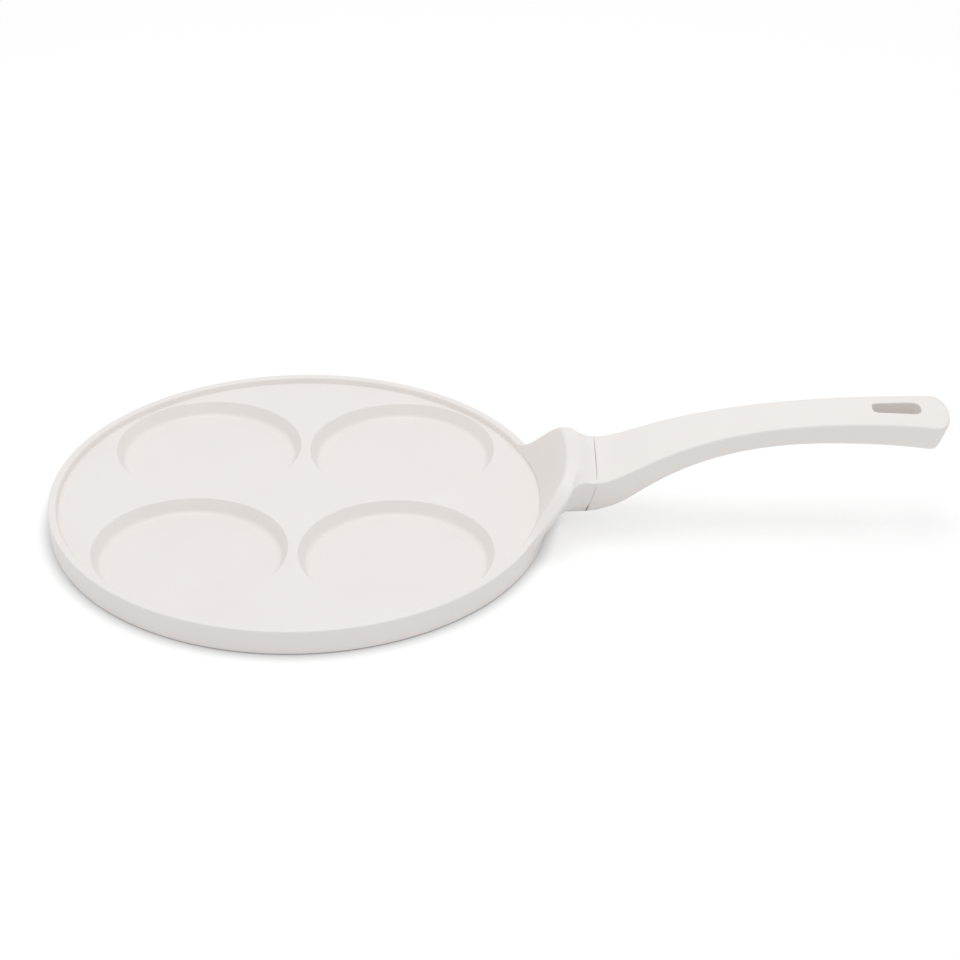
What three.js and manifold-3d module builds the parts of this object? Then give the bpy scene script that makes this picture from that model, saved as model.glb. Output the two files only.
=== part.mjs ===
// Cast pancake pan with four moulds and a moulded handle.
// Millimetres. The origin is the middle of the base, on the surface that the pan stands on.
// +X runs along the handle, +Z is up, and the whole pan is symmetric about the XZ plane.

import * as THREE from 'three';
import { mergeVertices } from 'three/addons/utils/BufferGeometryUtils.js';
import Module from 'manifold-3d';

const wasm = await Module();
wasm.setup();

const { clamp, degToRad, lerp, smoothstep } = THREE.MathUtils;

// Moulds sunk in the cooking surface, one in each quarter
const mouldRadius = 49.6;
const mouldWeb = 5;
const mouldMargin = 2.6;
const mouldDepth = 7;
const mouldWallRun = 4.1;
const mouldFloorEase = 2.2;

// Pan casting
const rimHeight = 14;
const rimWidth = 4.1;
const rimEase = 1.3;
const wellDepth = 3;
const wellFoot = 1.2;
const scoopFoot = 2.4;
const wellEase = 1;
const wallDraft = 0.6;
const baseEase = 1;

// Raised rim on the handle side: a scooped crest, and the flange behind it
const crestRise = 27.2;
const crestReach = 13.2;
const crestFullAngle = degToRad(9);
const crestStartAngle = degToRad(25.5);
const flangeReach = 15.5;
const flangeFullAngle = degToRad(11.5);
const flangeStartAngle = degToRad(24.5);
const flangeDrop = 1.9;
const flangeThickness = 3.2;
const flangeFillet = 20;
const flangeSetback = 3;
const flangeRootHeight = 7;
const flangeRootEase = 5;

// Lug, from the crest to the seam where the handle starts
const lugLength = 23.6;
const lugRidgeSink = 0.3;
const lugRootHeight = 7.5;
const seamLean = degToRad(10);
const seamLeanSpan = 16;
const seamRise = 21.5;
const seamDepth = 27.2;
const seamHalfWidth = 25.4;

// Handle, with lengths measured from the seam and heights from the seam's top
const handleLength = 179.35;
const gripFromSeam = 151.4;
const gripRise = 30.4;
const endFall = 0.6;
const bellyFromSeam = 123.4;
const gripDepth = 15.7;
const endDepth = 18.1;
const waistFromSeam = 103.4;
const waistHalfWidth = 15;
const endHalfWidth = 18.4;
const undersideHalfWidth = 10.5;
const undersideEase = 6;
const topEdgeEase = 2.6;
const topCrown = 1.8;
const endBow = 2.6;
const endUndercut = 5;
const endWarpSpan = 30;
const endCornerRun = 4.5;
const endCornerWidth = 8.5;
const endEdgeRound = 0.8;

// Level runs at the two ends of each stretch of the lug's and handle's long curves
const topRuns = [[8, 5], [19, 110], [12, 4]];
const bottomRuns = [[10, 8], [19.5, 88], [30, 5]];
const widthRuns = [[10, 8], [10, 62], [45, 6]];

// Hang slot, wider towards the end of the handle
const slotFromEnd = 14;
const slotLength = 24.6;
const slotInnerHalfWidth = 4.6;
const slotOuterHalfWidth = 6.2;
const slotInnerEase = 3;
const slotOuterEase = 4.5;

// Heat gasket in the seam
const gasketThickness = 0.4;
const gasketGap = 0.05;
const gasketInset = 0.1;

// Tongue of the casting inside the handle
const tongueFromSeam = 0.4;
const tongueLift = 1.05;
const tongueAngle = degToRad(28);
const tongueRoot = 14;
const tongueLength = 30;
const tongueWidth = 20;
const tongueThickness = 7;
const tongueEase = 2;
const socketClearance = 0.4;

// Screwed joint, on an axis square to the tongue
const fastenerClearance = 0.3;
const screwAlongTongue = 15;
const screwRadius = 2.5;
const screwTipSink = 0.6;
const screwHeadOverhang = 2.2;
const screwHeadHeight = 2.2;
const screwHeadEase = 1.2;
const crossSlotWidth = 1.1;
const crossSlotLength = 5;
const crossSlotDepth = 1.2;
const insertWall = 0.95;
const insertSink = 0.3;
const bushWall = 0.9;
const bushFlangeWidth = 1.8;
const bushFlangeThickness = 0.8;
const webThickness = 2.6;
const washerWidth = 1.8;
const washerThickness = 1;
const washerSplit = 1.2;
const pocketClearance = 0.8;

// Induction plate and the studs of the casting that hold it
const plateRadius = 95;
const plateThickness = 0.8;
const plateStandout = 0.4;
const plateClearance = 0.3;
const plateMargin = 20;
const plateHoleRadius = 2.3;
const plateRingCount = 3;
const plateHolesInFirstRing = 6;

// Smoothness of the facets
const lugColumns = 26;
const rimColumns = 31;
const lugSteps = 14;
const gripSteps = 16;
const endSteps = 6;
const endRoundSteps = 4;
const easeSteps = 3;
const mouldSegments = 48;
const plateSegments = 72;
const studSegments = 10;
const fastenerSegments = 20;

// Run of a cutter past the face that it leaves through, and limits of the curve work
const cutMargin = 1;
const weldDistance = 1e-4;
const railHalvings = 40;

// Sizes that follow from those above
const mouldOffset = mouldRadius + mouldWeb / 2;
const wellRadius = mouldOffset * Math.SQRT2 + mouldRadius + mouldMargin;
const rimRadius = wellRadius + rimWidth;
const cookHeight = rimHeight - wellDepth;
const lugRidgeX = wellRadius + crestReach;
const lugRidgeTop = rimHeight + crestRise - lugRidgeSink - topCrown;
const seamX = rimRadius + lugLength;
const seamTop = rimHeight + seamRise;
const seamBottom = seamTop - seamDepth;
const gripTop = seamTop + gripRise;
const gripBottom = gripTop - gripDepth;
const endTop = gripTop - endFall;
const endBottom = endTop - endDepth;
const handleStartX = seamX + gasketThickness + 2 * gasketGap;
const handleEndX = seamX + handleLength;
const tongueX = seamX + tongueFromSeam;
const tongueZ = (seamTop + seamBottom) / 2 + tongueLift;
const screwBore = screwRadius + fastenerClearance;
const screwHeadRadius = screwRadius + screwHeadOverhang;
const insertRadius = screwBore + insertWall;
const insertHeight = tongueThickness - 2 * insertSink;
const screwTip = insertHeight / 2 - screwTipSink;
const bushRadius = screwBore + bushWall;
const bushFlangeRadius = bushRadius + bushFlangeWidth;
const washerRadius = screwBore + washerWidth;
const pocketRadius = bushFlangeRadius + pocketClearance;
const plateRingSpacing = (plateRadius - plateMargin) / plateRingCount;
const cutHeight = gripTop + topCrown + cutMargin;

// An S-curve that leaves its start and reaches its end level, over the given run of each end
function sway(start, end, leave, arrive) {
  return new THREE.CubicBezierCurve(
    new THREE.Vector2(...start),
    new THREE.Vector2(start[0] + leave, start[1]),
    new THREE.Vector2(end[0] - arrive, end[1]),
    new THREE.Vector2(...end),
  );
}

// Edges of the lug and handle seen from the side, and half their width seen from above
function railThrough(stations, runs) {
  return runs.map((run, index) => sway(stations[index], stations[index + 1], ...run));
}
const topRail = railThrough([
  [lugRidgeX, lugRidgeTop],
  [seamX, seamTop],
  [seamX + gripFromSeam, gripTop],
  [handleEndX, endTop],
], topRuns);
const bottomRail = railThrough([
  [wellRadius, lugRootHeight],
  [seamX, seamBottom],
  [seamX + bellyFromSeam, gripBottom],
  [handleEndX, endBottom],
], bottomRuns);
const widthRail = railThrough([
  [wellRadius, seamHalfWidth],
  [seamX, seamHalfWidth],
  [seamX + waistFromSeam, waistHalfWidth],
  [handleEndX, endHalfWidth],
], widthRuns);

// Value of a rail above a place on the X axis, found by halving
function railAt(rail, x) {
  const last = rail[rail.length - 1];
  const curve = rail.find((part) => x <= part.v3.x) ?? last;
  const range = { low: 0, high: 1 };
  for (let halving = 0; halving < railHalvings; halving += 1) {
    const middle = (range.low + range.high) / 2;
    const side = curve.getPoint(middle).x < x ? 'low' : 'high';
    range[side] = middle;
  }
  return curve.getPoint(range.low).y;
}

// Straight runs through [x, y, ease] corners, a corner with an ease rounded over that length
function easedOutline(corners) {
  const count = corners.length;
  const at = (index) => new THREE.Vector2(...corners[(index + count) % count].slice(0, 2));
  const points = [];
  corners.forEach(([, , ease], index) => {
    const corner = at(index);
    if (ease === undefined) {
      points.push(corner);
      return;
    }
    const towards = (other) => {
      const run = other.sub(corner);
      return corner.clone().add(run.setLength(Math.min(ease, run.length() / 2)));
    };
    const curve = new THREE.QuadraticBezierCurve(towards(at(index - 1)), corner, towards(at(index + 1)));
    points.push(...curve.getPoints(easeSteps));
  });
  return points;
}

// Closed mesh as a solid that can be joined and cut
function solid(geometry) {
  const bare = geometry.clone();
  bare.deleteAttribute('normal');
  bare.deleteAttribute('uv');
  const merged = mergeVertices(bare, weldDistance);
  const index = merged.index.array;
  const triangles = [];
  for (let i = 0; i < index.length; i += 3) {
    const [a, b, c] = [index[i], index[i + 1], index[i + 2]];
    if (a !== b && b !== c && c !== a) {
      triangles.push(a, b, c);
    }
  }
  return new wasm.Manifold(new wasm.Mesh({
    numProp: 3,
    vertProperties: new Float32Array(merged.attributes.position.array),
    triVerts: new Uint32Array(triangles),
  }));
}

function geometryOf(body) {
  const mesh = body.getMesh();
  const geometry = new THREE.BufferGeometry();
  geometry.setAttribute('position', new THREE.BufferAttribute(new Float32Array(mesh.vertProperties), 3));
  geometry.setIndex(new THREE.BufferAttribute(new Uint32Array(mesh.triVerts), 1));
  geometry.computeVertexNormals();
  return geometry;
}

function meshFrom(points, triangles) {
  const geometry = new THREE.BufferGeometry();
  geometry.setFromPoints(points);
  geometry.setIndex(triangles);
  return geometry;
}

// Body of revolution about Z from [radius, height] points, listed from the bottom up
function revolve(outline, segments) {
  const profile = outline.map(([radius, height]) => new THREE.Vector2(radius, height));
  return new THREE.LatheGeometry(profile, segments).rotateX(Math.PI / 2);
}

function cylinder(radius, bottom, top, segments) {
  return revolve([[0, bottom], [radius, bottom], [radius, top], [0, top]], segments);
}

const evenly = (from, to, count) => Array.from({ length: count + 1 }, (_, i) => lerp(from, to, i / count));

// Revolved body whose section changes with the angle from the handle, finer on the handle side.
// The section starts and ends on the axis, and lists its points from the bottom up.
function sweepRound(sectionAt) {
  const lugSide = evenly(0, crestStartAngle, lugColumns);
  const half = [...lugSide, ...evenly(crestStartAngle, Math.PI, rimColumns).slice(1)];
  const otherHalf = half.slice(1, -1).reverse().map((angle) => 2 * Math.PI - angle);
  const angles = [...half, ...otherHalf];
  const points = [];
  const triangles = [];
  const rows = sectionAt(0).length;
  angles.forEach((angle) => {
    sectionAt(Math.min(angle, 2 * Math.PI - angle)).forEach(({ x, y }) => {
      points.push(new THREE.Vector3(x * Math.cos(angle), x * Math.sin(angle), y));
    });
  });
  angles.forEach((_, column) => {
    const next = (column + 1) % angles.length;
    for (let row = 0; row < rows - 1; row += 1) {
      const [a, b] = [column * rows + row, next * rows + row];
      triangles.push(a, b, b + 1, a, b + 1, a + 1);
    }
  });
  return meshFrom(points, triangles);
}

// Skin through rings of points along +X, with both ends closed
function loft(rings) {
  const size = rings[0].length;
  const points = rings.flat();
  const triangles = [];
  for (let ring = 0; ring < rings.length - 1; ring += 1) {
    for (let step = 0; step < size; step += 1) {
      const a = ring * size + step;
      const b = ring * size + (step + 1) % size;
      triangles.push(a, b, b + size, a, b + size, a + size);
    }
  }
  const middleOf = (ring) => {
    const sum = ring.reduce((total, point) => total.add(point), new THREE.Vector3());
    return sum.divideScalar(size);
  };
  const first = points.push(middleOf(rings[0])) - 1;
  const last = points.push(middleOf(rings[rings.length - 1])) - 1;
  const lastRing = (rings.length - 1) * size;
  for (let step = 0; step < size; step += 1) {
    const next = (step + 1) % size;
    triangles.push(first, next, step);
    triangles.push(last, lastRing + step, lastRing + next);
  }
  return meshFrom(points, triangles);
}

// How far the rim has swelled at an angle from the handle, from 0 to 1
const crestSwell = (angle) => 1 - smoothstep(angle, crestFullAngle, crestStartAngle);
const flangeSwell = (angle) => 1 - smoothstep(angle, flangeFullAngle, flangeStartAngle);

const crestRadius = (angle) => wellRadius + crestReach * crestSwell(angle);
const crestHeight = (angle) => rimHeight + crestRise * crestSwell(angle);

// Outside of the flange from above, with a fillet where the sides of the lug leave it
function flangeRadius(angle) {
  const round = rimRadius + flangeReach * flangeSwell(angle);
  const side = seamHalfWidth / Math.sin(clamp(angle, crestFullAngle / 2, Math.PI / 2));
  const nearness = Math.max(flangeFillet - Math.abs(round - side), 0) / flangeFillet;
  const filleted = Math.max(round, side) + flangeFillet * nearness ** 2 / 4;
  return Math.min(filleted, seamX - flangeSetback);
}

// Casting before the well is cut, from the base out over the flange to the top
function blankSection(angle) {
  const swell = crestSwell(angle);
  const edgeRadius = flangeRadius(angle);
  const lugEdge = railAt(topRail, Math.max(edgeRadius * Math.cos(angle), lugRidgeX));
  const edgeHeight = Math.min(crestHeight(angle) - flangeDrop * swell, lugEdge);
  const draftAt = (height) => wallDraft * (1 - height / rimHeight);
  return easedOutline([
    [0, plateStandout],
    [rimRadius - wallDraft, plateStandout, baseEase],
    [rimRadius - draftAt(flangeRootHeight), flangeRootHeight, flangeRootEase * swell],
    [edgeRadius - draftAt(rimHeight - flangeThickness), edgeHeight - flangeThickness],
    [edgeRadius, edgeHeight, rimEase],
    [crestRadius(angle) - rimEase, crestHeight(angle)],
    [0, crestHeight(Math.PI)],
  ]);
}

// Space above the cooking surface: the well, and the scoop that leans out over the lug from its foot
function wellSection(angle) {
  const radius = crestRadius(angle);
  const height = crestHeight(angle);
  return easedOutline([
    [0, cookHeight],
    [wellRadius, cookHeight, wellEase],
    [wellRadius, cookHeight + lerp(wellFoot, scoopFoot, crestSwell(angle))],
    [radius, height, rimEase],
    [radius + rimWidth, height + rimEase / 2],
    [radius + rimWidth, cutHeight],
    [0, cutHeight],
  ]);
}

// Section of the lug and handle, as a ring of [y, z] that runs up the +Y side and down the other
function gripSection(x, inset = 0, drop = 0) {
  const bottom = railAt(bottomRail, x) + drop;
  const top = railAt(topRail, x) - drop;
  const halfTop = railAt(widthRail, x) - inset;
  const halfBottom = undersideHalfWidth - inset / 2;
  const beyondRidge = smoothstep(x, lugRidgeX, seamX);
  const half = easedOutline([
    [0, bottom],
    [halfBottom, bottom, undersideEase],
    [halfTop, top, topEdgeEase * beyondRidge],
    [halfTop * 2 / 3, top],
    [halfTop / 3, top],
    [0, top],
  ]);
  const right = half.map(({ x: y, y: z }) => {
    const rise = (z - bottom) / (top - bottom);
    return [y, z + topCrown * rise * (1 - (y / halfTop) ** 2)];
  });
  const left = right.slice(1, -1).reverse().map(([y, z]) => [-y, z]);
  return [...right, ...left];
}

// The section set in place: it leans at the seam, and bows and draws in underneath at the end
function gripRing(x, inset = 0, drop = 0) {
  const top = railAt(topRail, x);
  const depth = top - railAt(bottomRail, x);
  const half = railAt(widthRail, x);
  const beforeSeam = smoothstep(x, seamX - seamLeanSpan, seamX);
  const afterSeam = 1 - smoothstep(x, handleStartX, handleStartX + seamLeanSpan);
  const lean = Math.tan(seamLean) * beforeSeam * afterSeam;
  const warp = smoothstep(x, handleEndX - endWarpSpan, handleEndX);
  return gripSection(x, inset, drop).map(([y, z]) => {
    const below = top - z;
    const bow = endBow * (y / half) ** 2 + endUndercut * below / depth;
    return new THREE.Vector3(x - lean * below - warp * bow, y, z);
  });
}

// Tongue outline swept along its own axis, grown by a clearance for the sockets that take it
function tongueBar(clearance) {
  const y = tongueWidth / 2 + clearance;
  const z = tongueThickness / 2 + clearance;
  const outline = [[-y, -z], [y, -z], [y, z], [-y, z]].map((corner) => [...corner, tongueEase]);
  const shape = new THREE.Shape(easedOutline(outline));
  const length = tongueRoot + tongueLength + clearance;
  return new THREE.ExtrudeGeometry(shape, { depth: length, bevelEnabled: false })
    .applyMatrix4(new THREE.Matrix4().set(0, 0, 1, -tongueRoot, 1, 0, 0, 0, 0, 1, 0, 0, 0, 0, 0, 1));
}

// Frame of the tongue: its own X runs along it, and its own Z is the screw's axis
const tongueFrame = new THREE.Group();
tongueFrame.position.set(tongueX, 0, tongueZ);
tongueFrame.rotation.y = -tongueAngle;
tongueFrame.updateMatrix();
const inTongueFrame = (geometry) => solid(geometry.applyMatrix4(tongueFrame.matrix));

// Heights along the screw's axis, from the middle of the tongue downwards
const webTop = -(tongueThickness / 2 + socketClearance);
const webBottom = webTop - webThickness;
const bushBottom = webBottom - fastenerClearance - bushFlangeThickness;
const washerBottom = bushBottom - fastenerClearance - washerThickness;
const headTop = washerBottom - fastenerClearance;
const headBottom = headTop - screwHeadHeight;

function tongueHole(radius, bottom, top) {
  return cylinder(radius, bottom, top, fastenerSegments).translate(screwAlongTongue, 0, 0);
}

// Places of the plate's holes, in rings about its middle
function plateHoles() {
  const places = [];
  for (let ring = 1; ring <= plateRingCount; ring += 1) {
    const count = plateHolesInFirstRing * ring;
    for (let hole = 0; hole < count; hole += 1) {
      const angle = 2 * Math.PI * hole / count;
      places.push([plateRingSpacing * ring * Math.cos(angle), plateRingSpacing * ring * Math.sin(angle)]);
    }
  }
  return places;
}

// Space of one mould, with its sloping wall eased into its floor
function mouldOutline() {
  const floor = cookHeight - mouldDepth;
  return easedOutline([
    [0, floor],
    [mouldRadius - mouldWallRun, floor, mouldFloorEase],
    [mouldRadius, cookHeight],
    [mouldRadius, cutHeight],
    [0, cutHeight],
  ]).map(({ x, y }) => [x, y]);
}

function panBody() {
  const lugStations = evenly(wellRadius, seamX, lugSteps);
  const lug = solid(loft(lugStations.map((x) => gripRing(x))));
  let body = solid(sweepRound(blankSection)).add(lug);
  body = body.subtract(solid(sweepRound(wellSection)));
  const outline = mouldOutline();
  for (const x of [-mouldOffset, mouldOffset]) {
    for (const y of [-mouldOffset, mouldOffset]) {
      body = body.subtract(solid(revolve(outline, mouldSegments).translate(x, y, 0)));
    }
  }
  const plateSeat = cylinder(plateRadius + plateClearance, -cutMargin, plateThickness, plateSegments);
  body = body.subtract(solid(plateSeat));
  const studTop = plateThickness + cutMargin;
  for (const [x, y] of plateHoles()) {
    const stud = cylinder(plateHoleRadius - plateClearance, plateStandout, studTop, studSegments);
    body = body.add(solid(stud.translate(x, y, 0)));
  }
  body = body.add(inTongueFrame(tongueBar(0)));
  const bore = tongueHole(insertRadius + fastenerClearance, -tongueThickness, tongueThickness);
  return geometryOf(body.subtract(inTongueFrame(bore)));
}

function inductionPlate() {
  let plate = solid(cylinder(plateRadius, 0, plateThickness, plateSegments));
  for (const [x, y] of plateHoles()) {
    const hole = cylinder(plateHoleRadius, -cutMargin, plateThickness + cutMargin, studSegments);
    plate = plate.subtract(solid(hole.translate(x, y, 0)));
  }
  return geometryOf(plate);
}

function heatGasket() {
  const faces = [seamX + gasketGap, seamX + gasketGap + gasketThickness];
  const sheet = solid(loft(faces.map((x) => gripRing(x, gasketInset, gasketInset))));
  return geometryOf(sheet.subtract(inTongueFrame(tongueBar(socketClearance))));
}

function handle() {
  const roundFrom = handleEndX - endCornerRun;
  const rings = [
    ...evenly(handleStartX, seamX + waistFromSeam, gripSteps),
    ...evenly(seamX + waistFromSeam, roundFrom, endSteps).slice(1),
  ].map((x) => gripRing(x));
  for (const turn of evenly(0, Math.PI / 2, endRoundSteps).slice(1)) {
    const x = roundFrom + endCornerRun * Math.sin(turn);
    const pull = 1 - Math.cos(turn);
    rings.push(gripRing(x, endCornerWidth * pull, endEdgeRound * pull));
  }
  let body = solid(loft(rings));
  const slotEnd = handleEndX - slotFromEnd;
  const slotStart = slotEnd - slotLength;
  const slot = new THREE.Shape(easedOutline([
    [slotStart, -slotInnerHalfWidth, slotInnerEase],
    [slotEnd, -slotOuterHalfWidth, slotOuterEase],
    [slotEnd, slotOuterHalfWidth, slotOuterEase],
    [slotStart, slotInnerHalfWidth, slotInnerEase],
  ]));
  body = body.subtract(solid(new THREE.ExtrudeGeometry(slot, { depth: cutHeight, bevelEnabled: false })));
  body = body.subtract(inTongueFrame(tongueBar(socketClearance)));
  const bushHole = tongueHole(bushRadius + fastenerClearance, webBottom - cutMargin, webTop + cutMargin);
  body = body.subtract(inTongueFrame(bushHole));
  const pocket = tongueHole(pocketRadius, webBottom - seamDepth, webBottom);
  return geometryOf(body.subtract(inTongueFrame(pocket)));
}

function threadInsert() {
  const bore = cylinder(screwBore, -insertHeight, insertHeight, fastenerSegments);
  const body = cylinder(insertRadius, -insertHeight / 2, insertHeight / 2, fastenerSegments);
  return geometryOf(solid(body).subtract(solid(bore)));
}

function screwBush() {
  const flange = cylinder(bushFlangeRadius, bushBottom, bushBottom + bushFlangeThickness, fastenerSegments);
  const sleeve = cylinder(bushRadius, bushBottom, webTop - fastenerClearance, fastenerSegments);
  const bore = cylinder(screwBore, bushBottom - cutMargin, webTop + cutMargin, fastenerSegments);
  return geometryOf(solid(flange).add(solid(sleeve)).subtract(solid(bore)));
}

function lockWasher() {
  const ring = cylinder(washerRadius, washerBottom, washerBottom + washerThickness, fastenerSegments);
  const bore = cylinder(screwBore, washerBottom - cutMargin, bushBottom, fastenerSegments);
  const split = new THREE.BoxGeometry(2 * washerRadius, washerSplit, 2 * (washerThickness + cutMargin))
    .translate(washerRadius, 0, washerBottom);
  return geometryOf(solid(ring).subtract(solid(bore)).subtract(solid(split)));
}

function handleScrew() {
  const outline = easedOutline([
    [0, headBottom],
    [screwHeadRadius, headBottom, screwHeadEase],
    [screwHeadRadius, headTop],
    [screwRadius, headTop],
    [screwRadius, screwTip],
    [0, screwTip],
  ]);
  let screw = solid(revolve(outline.map(({ x, y }) => [x, y]), fastenerSegments));
  for (const turn of [0, Math.PI / 2]) {
    const slot = new THREE.BoxGeometry(crossSlotLength, crossSlotWidth, 2 * crossSlotDepth);
    screw = screw.subtract(solid(slot.rotateZ(turn).translate(0, 0, headBottom)));
  }
  return geometryOf(screw);
}

const coating = { color: 0xe9e5e1, roughness: 0.38, metalness: 0 };
const moulding = { color: 0xece8e4, roughness: 0.55, metalness: 0 };
const plateSteel = { color: 0xa9abad, roughness: 0.35, metalness: 1 };
const fastenerSteel = { color: 0xb4b4b0, roughness: 0.3, metalness: 1 };
const gasketRubber = { color: 0x8d8680, roughness: 0.8, metalness: 0 };

function part(name, geometry, finish) {
  const mesh = new THREE.Mesh(geometry, new THREE.MeshStandardMaterial({ ...finish, flatShading: true }));
  mesh.name = name;
  return mesh;
}

const pan = new THREE.Group();
pan.add(part('pan_body', panBody(), coating));
pan.add(part('induction_plate', inductionPlate(), plateSteel));
pan.add(part('heat_gasket', heatGasket(), gasketRubber));
pan.add(part('handle', handle(), moulding));

const screwAxis = new THREE.Group();
screwAxis.position.x = screwAlongTongue;
screwAxis.add(part('thread_insert', threadInsert(), fastenerSteel));
screwAxis.add(part('screw_bush', screwBush(), fastenerSteel));
screwAxis.add(part('lock_washer', lockWasher(), fastenerSteel));
screwAxis.add(part('handle_screw', handleScrew(), fastenerSteel));
tongueFrame.add(screwAxis);
pan.add(tongueFrame);

export default pan;
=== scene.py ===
from math import atan2, ceil, cos, hypot, pi, radians, sin, tan

import bmesh
import bpy
from mathutils import Matrix, Vector


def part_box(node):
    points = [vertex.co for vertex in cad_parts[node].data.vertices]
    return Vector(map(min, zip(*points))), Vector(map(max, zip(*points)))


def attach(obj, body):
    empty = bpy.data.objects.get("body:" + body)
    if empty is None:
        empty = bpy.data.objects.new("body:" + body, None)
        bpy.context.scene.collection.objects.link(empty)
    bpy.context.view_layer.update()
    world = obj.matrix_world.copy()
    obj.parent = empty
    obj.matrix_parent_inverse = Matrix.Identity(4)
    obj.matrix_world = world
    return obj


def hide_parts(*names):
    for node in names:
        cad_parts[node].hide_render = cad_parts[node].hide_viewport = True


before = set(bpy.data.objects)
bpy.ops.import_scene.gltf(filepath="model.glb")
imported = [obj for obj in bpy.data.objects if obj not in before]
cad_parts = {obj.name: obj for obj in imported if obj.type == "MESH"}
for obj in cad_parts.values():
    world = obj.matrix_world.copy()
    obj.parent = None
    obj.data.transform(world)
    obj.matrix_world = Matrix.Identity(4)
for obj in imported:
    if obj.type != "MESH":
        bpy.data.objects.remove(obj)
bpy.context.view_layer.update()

MM = 0.001

# Tolerances of the bench work
WELD_REACH = 0.002 * MM
NEAR = 0.01 * MM
STILL = 0.001 * MM
HEIGHT_DIGITS = 6
CREASE = radians(32)

# Camera, fitted to the rim, the moulds and the handle of the pan
LENS_MM = 91.15
CAMERA_TARGET = (94.342 * MM, 37.463 * MM, 0)
CAMERA_DISTANCE = 1308.05 * MM
CAMERA_YAW = radians(-0.339)
CAMERA_PITCH = radians(30.615)
CAMERA_ROLL = radians(0.754)

# Casting, as turned before its lug is drawn out
RIM_RADIUS = 129.98 * MM
RIM_WIDTH = 4.1 * MM
RIM_HEIGHT = 14 * MM
RIM_OUTER_EASE = 1.2 * MM
RIM_INNER_EASE = 1.2 * MM
WELL_RADIUS = RIM_RADIUS - RIM_WIDTH
COOK_HEIGHT = 11 * MM
WELL_FOOT = 1.2 * MM
WELL_RUN = 1.05 * MM
SCOOP_FOOT = 2.4 * MM
RELIEF_WIDTH = 0.8 * MM
RELIEF_DEPTH = 0.4 * MM
RELIEF_EASE = 0.2 * MM
WALL_DRAFT = 0.6 * MM
BASE_EASE = 1.1 * MM
COOK_RING_RADIUS = WELL_RADIUS / 2
WALL_COLUMNS = 288
EASE_STEPS = 4

# Swell of the rim into the scooped lug
CREST_REACH = 13.2 * MM
CREST_HEIGHT = 41.2 * MM
CREST_FAN = (radians(9), radians(25.5))
CREST_EASE = 2.6 * MM
FLANGE_REACH = 15.5 * MM
FLANGE_EDGE_HEIGHT = 39.3 * MM
FLANGE_THICKNESS = 3.2 * MM
FLANGE_SET_IN = 0.4 * MM
FLANGE_FAN = (radians(11.5), radians(24.5))
ROOT_HEIGHT = 7 * MM
ROOT_EASE = 5 * MM

# Lug, drawn out of the flange as far as the seam. Its steps and the end of its bend are shares of that
# way, its spreads are shares of a half width, and its fades and fillets are powers.
LUG_HALF_COLUMNS = 10
LUG_STEPS = (0.05, 0.12, 0.21, 0.32, 0.46, 0.62, 0.8, 1.0)
LUG_BEND_DONE = 0.55
LUG_BEND_SPREAD = 0.66
LUG_BOW_FADE = 1.5
LUG_CROWN_FADE = 2
LUG_CROWN_SPREAD = 1.1
LUG_RIDGE_X = 139.08 * MM
LUG_RIDGE_TOP = 39.1 * MM
LUG_FILLETS = (10, 3.2)
SEAM_X = 153.62 * MM
SEAM_TOP = 35.5 * MM
SEAM_BOTTOM = 8.3 * MM
SEAM_HALF_WIDTH = 25.4 * MM
SEAM_LEAN = radians(10)
SEAM_EDGE_EASE = 0.2 * MM
SEAM_EDGE_STEPS = 2
SEAM_SIDE_ROWS = (0.38, 0.58, 0.8)
TOP_CROWN = 1.8 * MM
TOP_EDGE_EASE = 2.6 * MM
UNDERSIDE_HALF_WIDTH = 10.5 * MM
UNDERSIDE_EASE = 6 * MM
UNDERSIDE_EASE_STEPS = 6

# Moulds
MOULD_RADIUS = 49.6 * MM
MOULD_DEPTH = 7 * MM
MOULD_WALL_RUN = 4.1 * MM
MOULD_FLOOR_EASE = 2.4 * MM
MOULD_WEB = 5 * MM
MOULD_LIP_EASE = 0.5 * MM
MOULD_BRIM = 0.6 * MM
MOULD_BRIM_LIFT = 0.05 * MM
MOULD_RING_RADIUS = MOULD_RADIUS / 4
MOULD_OFFSET = MOULD_RADIUS + MOULD_WEB / 2
MOULD_COLUMNS = 160
MOULD_EASE_STEPS = 8

# Induction plate and the studs that hold it; a row of their dome has a share of the radius and a height
PLATE_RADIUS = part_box("induction_plate")[1][0]
PLATE_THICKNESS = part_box("induction_plate")[1][2]
PLATE_STANDOUT = 0.4 * MM
PLATE_CLEARANCE = 0.3 * MM
PLATE_HOLE_RADIUS = 2.3 * MM
PLATE_RING_SPACING = 25 * MM
PLATE_RINGS = 3
PLATE_HOLES_IN_FIRST_RING = 6
STUD_ROOT = 0.5 * MM
STUD_DOME = ((1, 0.15 * MM), (0.93, 0.05 * MM), (0.8, 0))
STUD_COLUMNS = 24

# Tongue of the casting, and the screw that clamps the handle to it
TONGUE_PLACE = (153.98 * MM, 0, 22.95 * MM)
TONGUE_ANGLE = radians(28)
TONGUE_ROOT = 14 * MM
TONGUE_LENGTH = 30 * MM
TONGUE_WIDTH = 20 * MM
TONGUE_THICKNESS = 7 * MM
TONGUE_EASE = 1.2 * MM
TONGUE_EASE_STEPS = 3
SOCKET_CLEARANCE = 0.4 * MM
SCREW_ALONG_TONGUE = 15 * MM
INSERT_BORE_RADIUS = 4.05 * MM
BUSH_BORE_RADIUS = 4.0 * MM
POCKET_RADIUS = 6.3 * MM
POCKET_TOP = -6.5 * MM
HOLE_COLUMNS = 48

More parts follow.
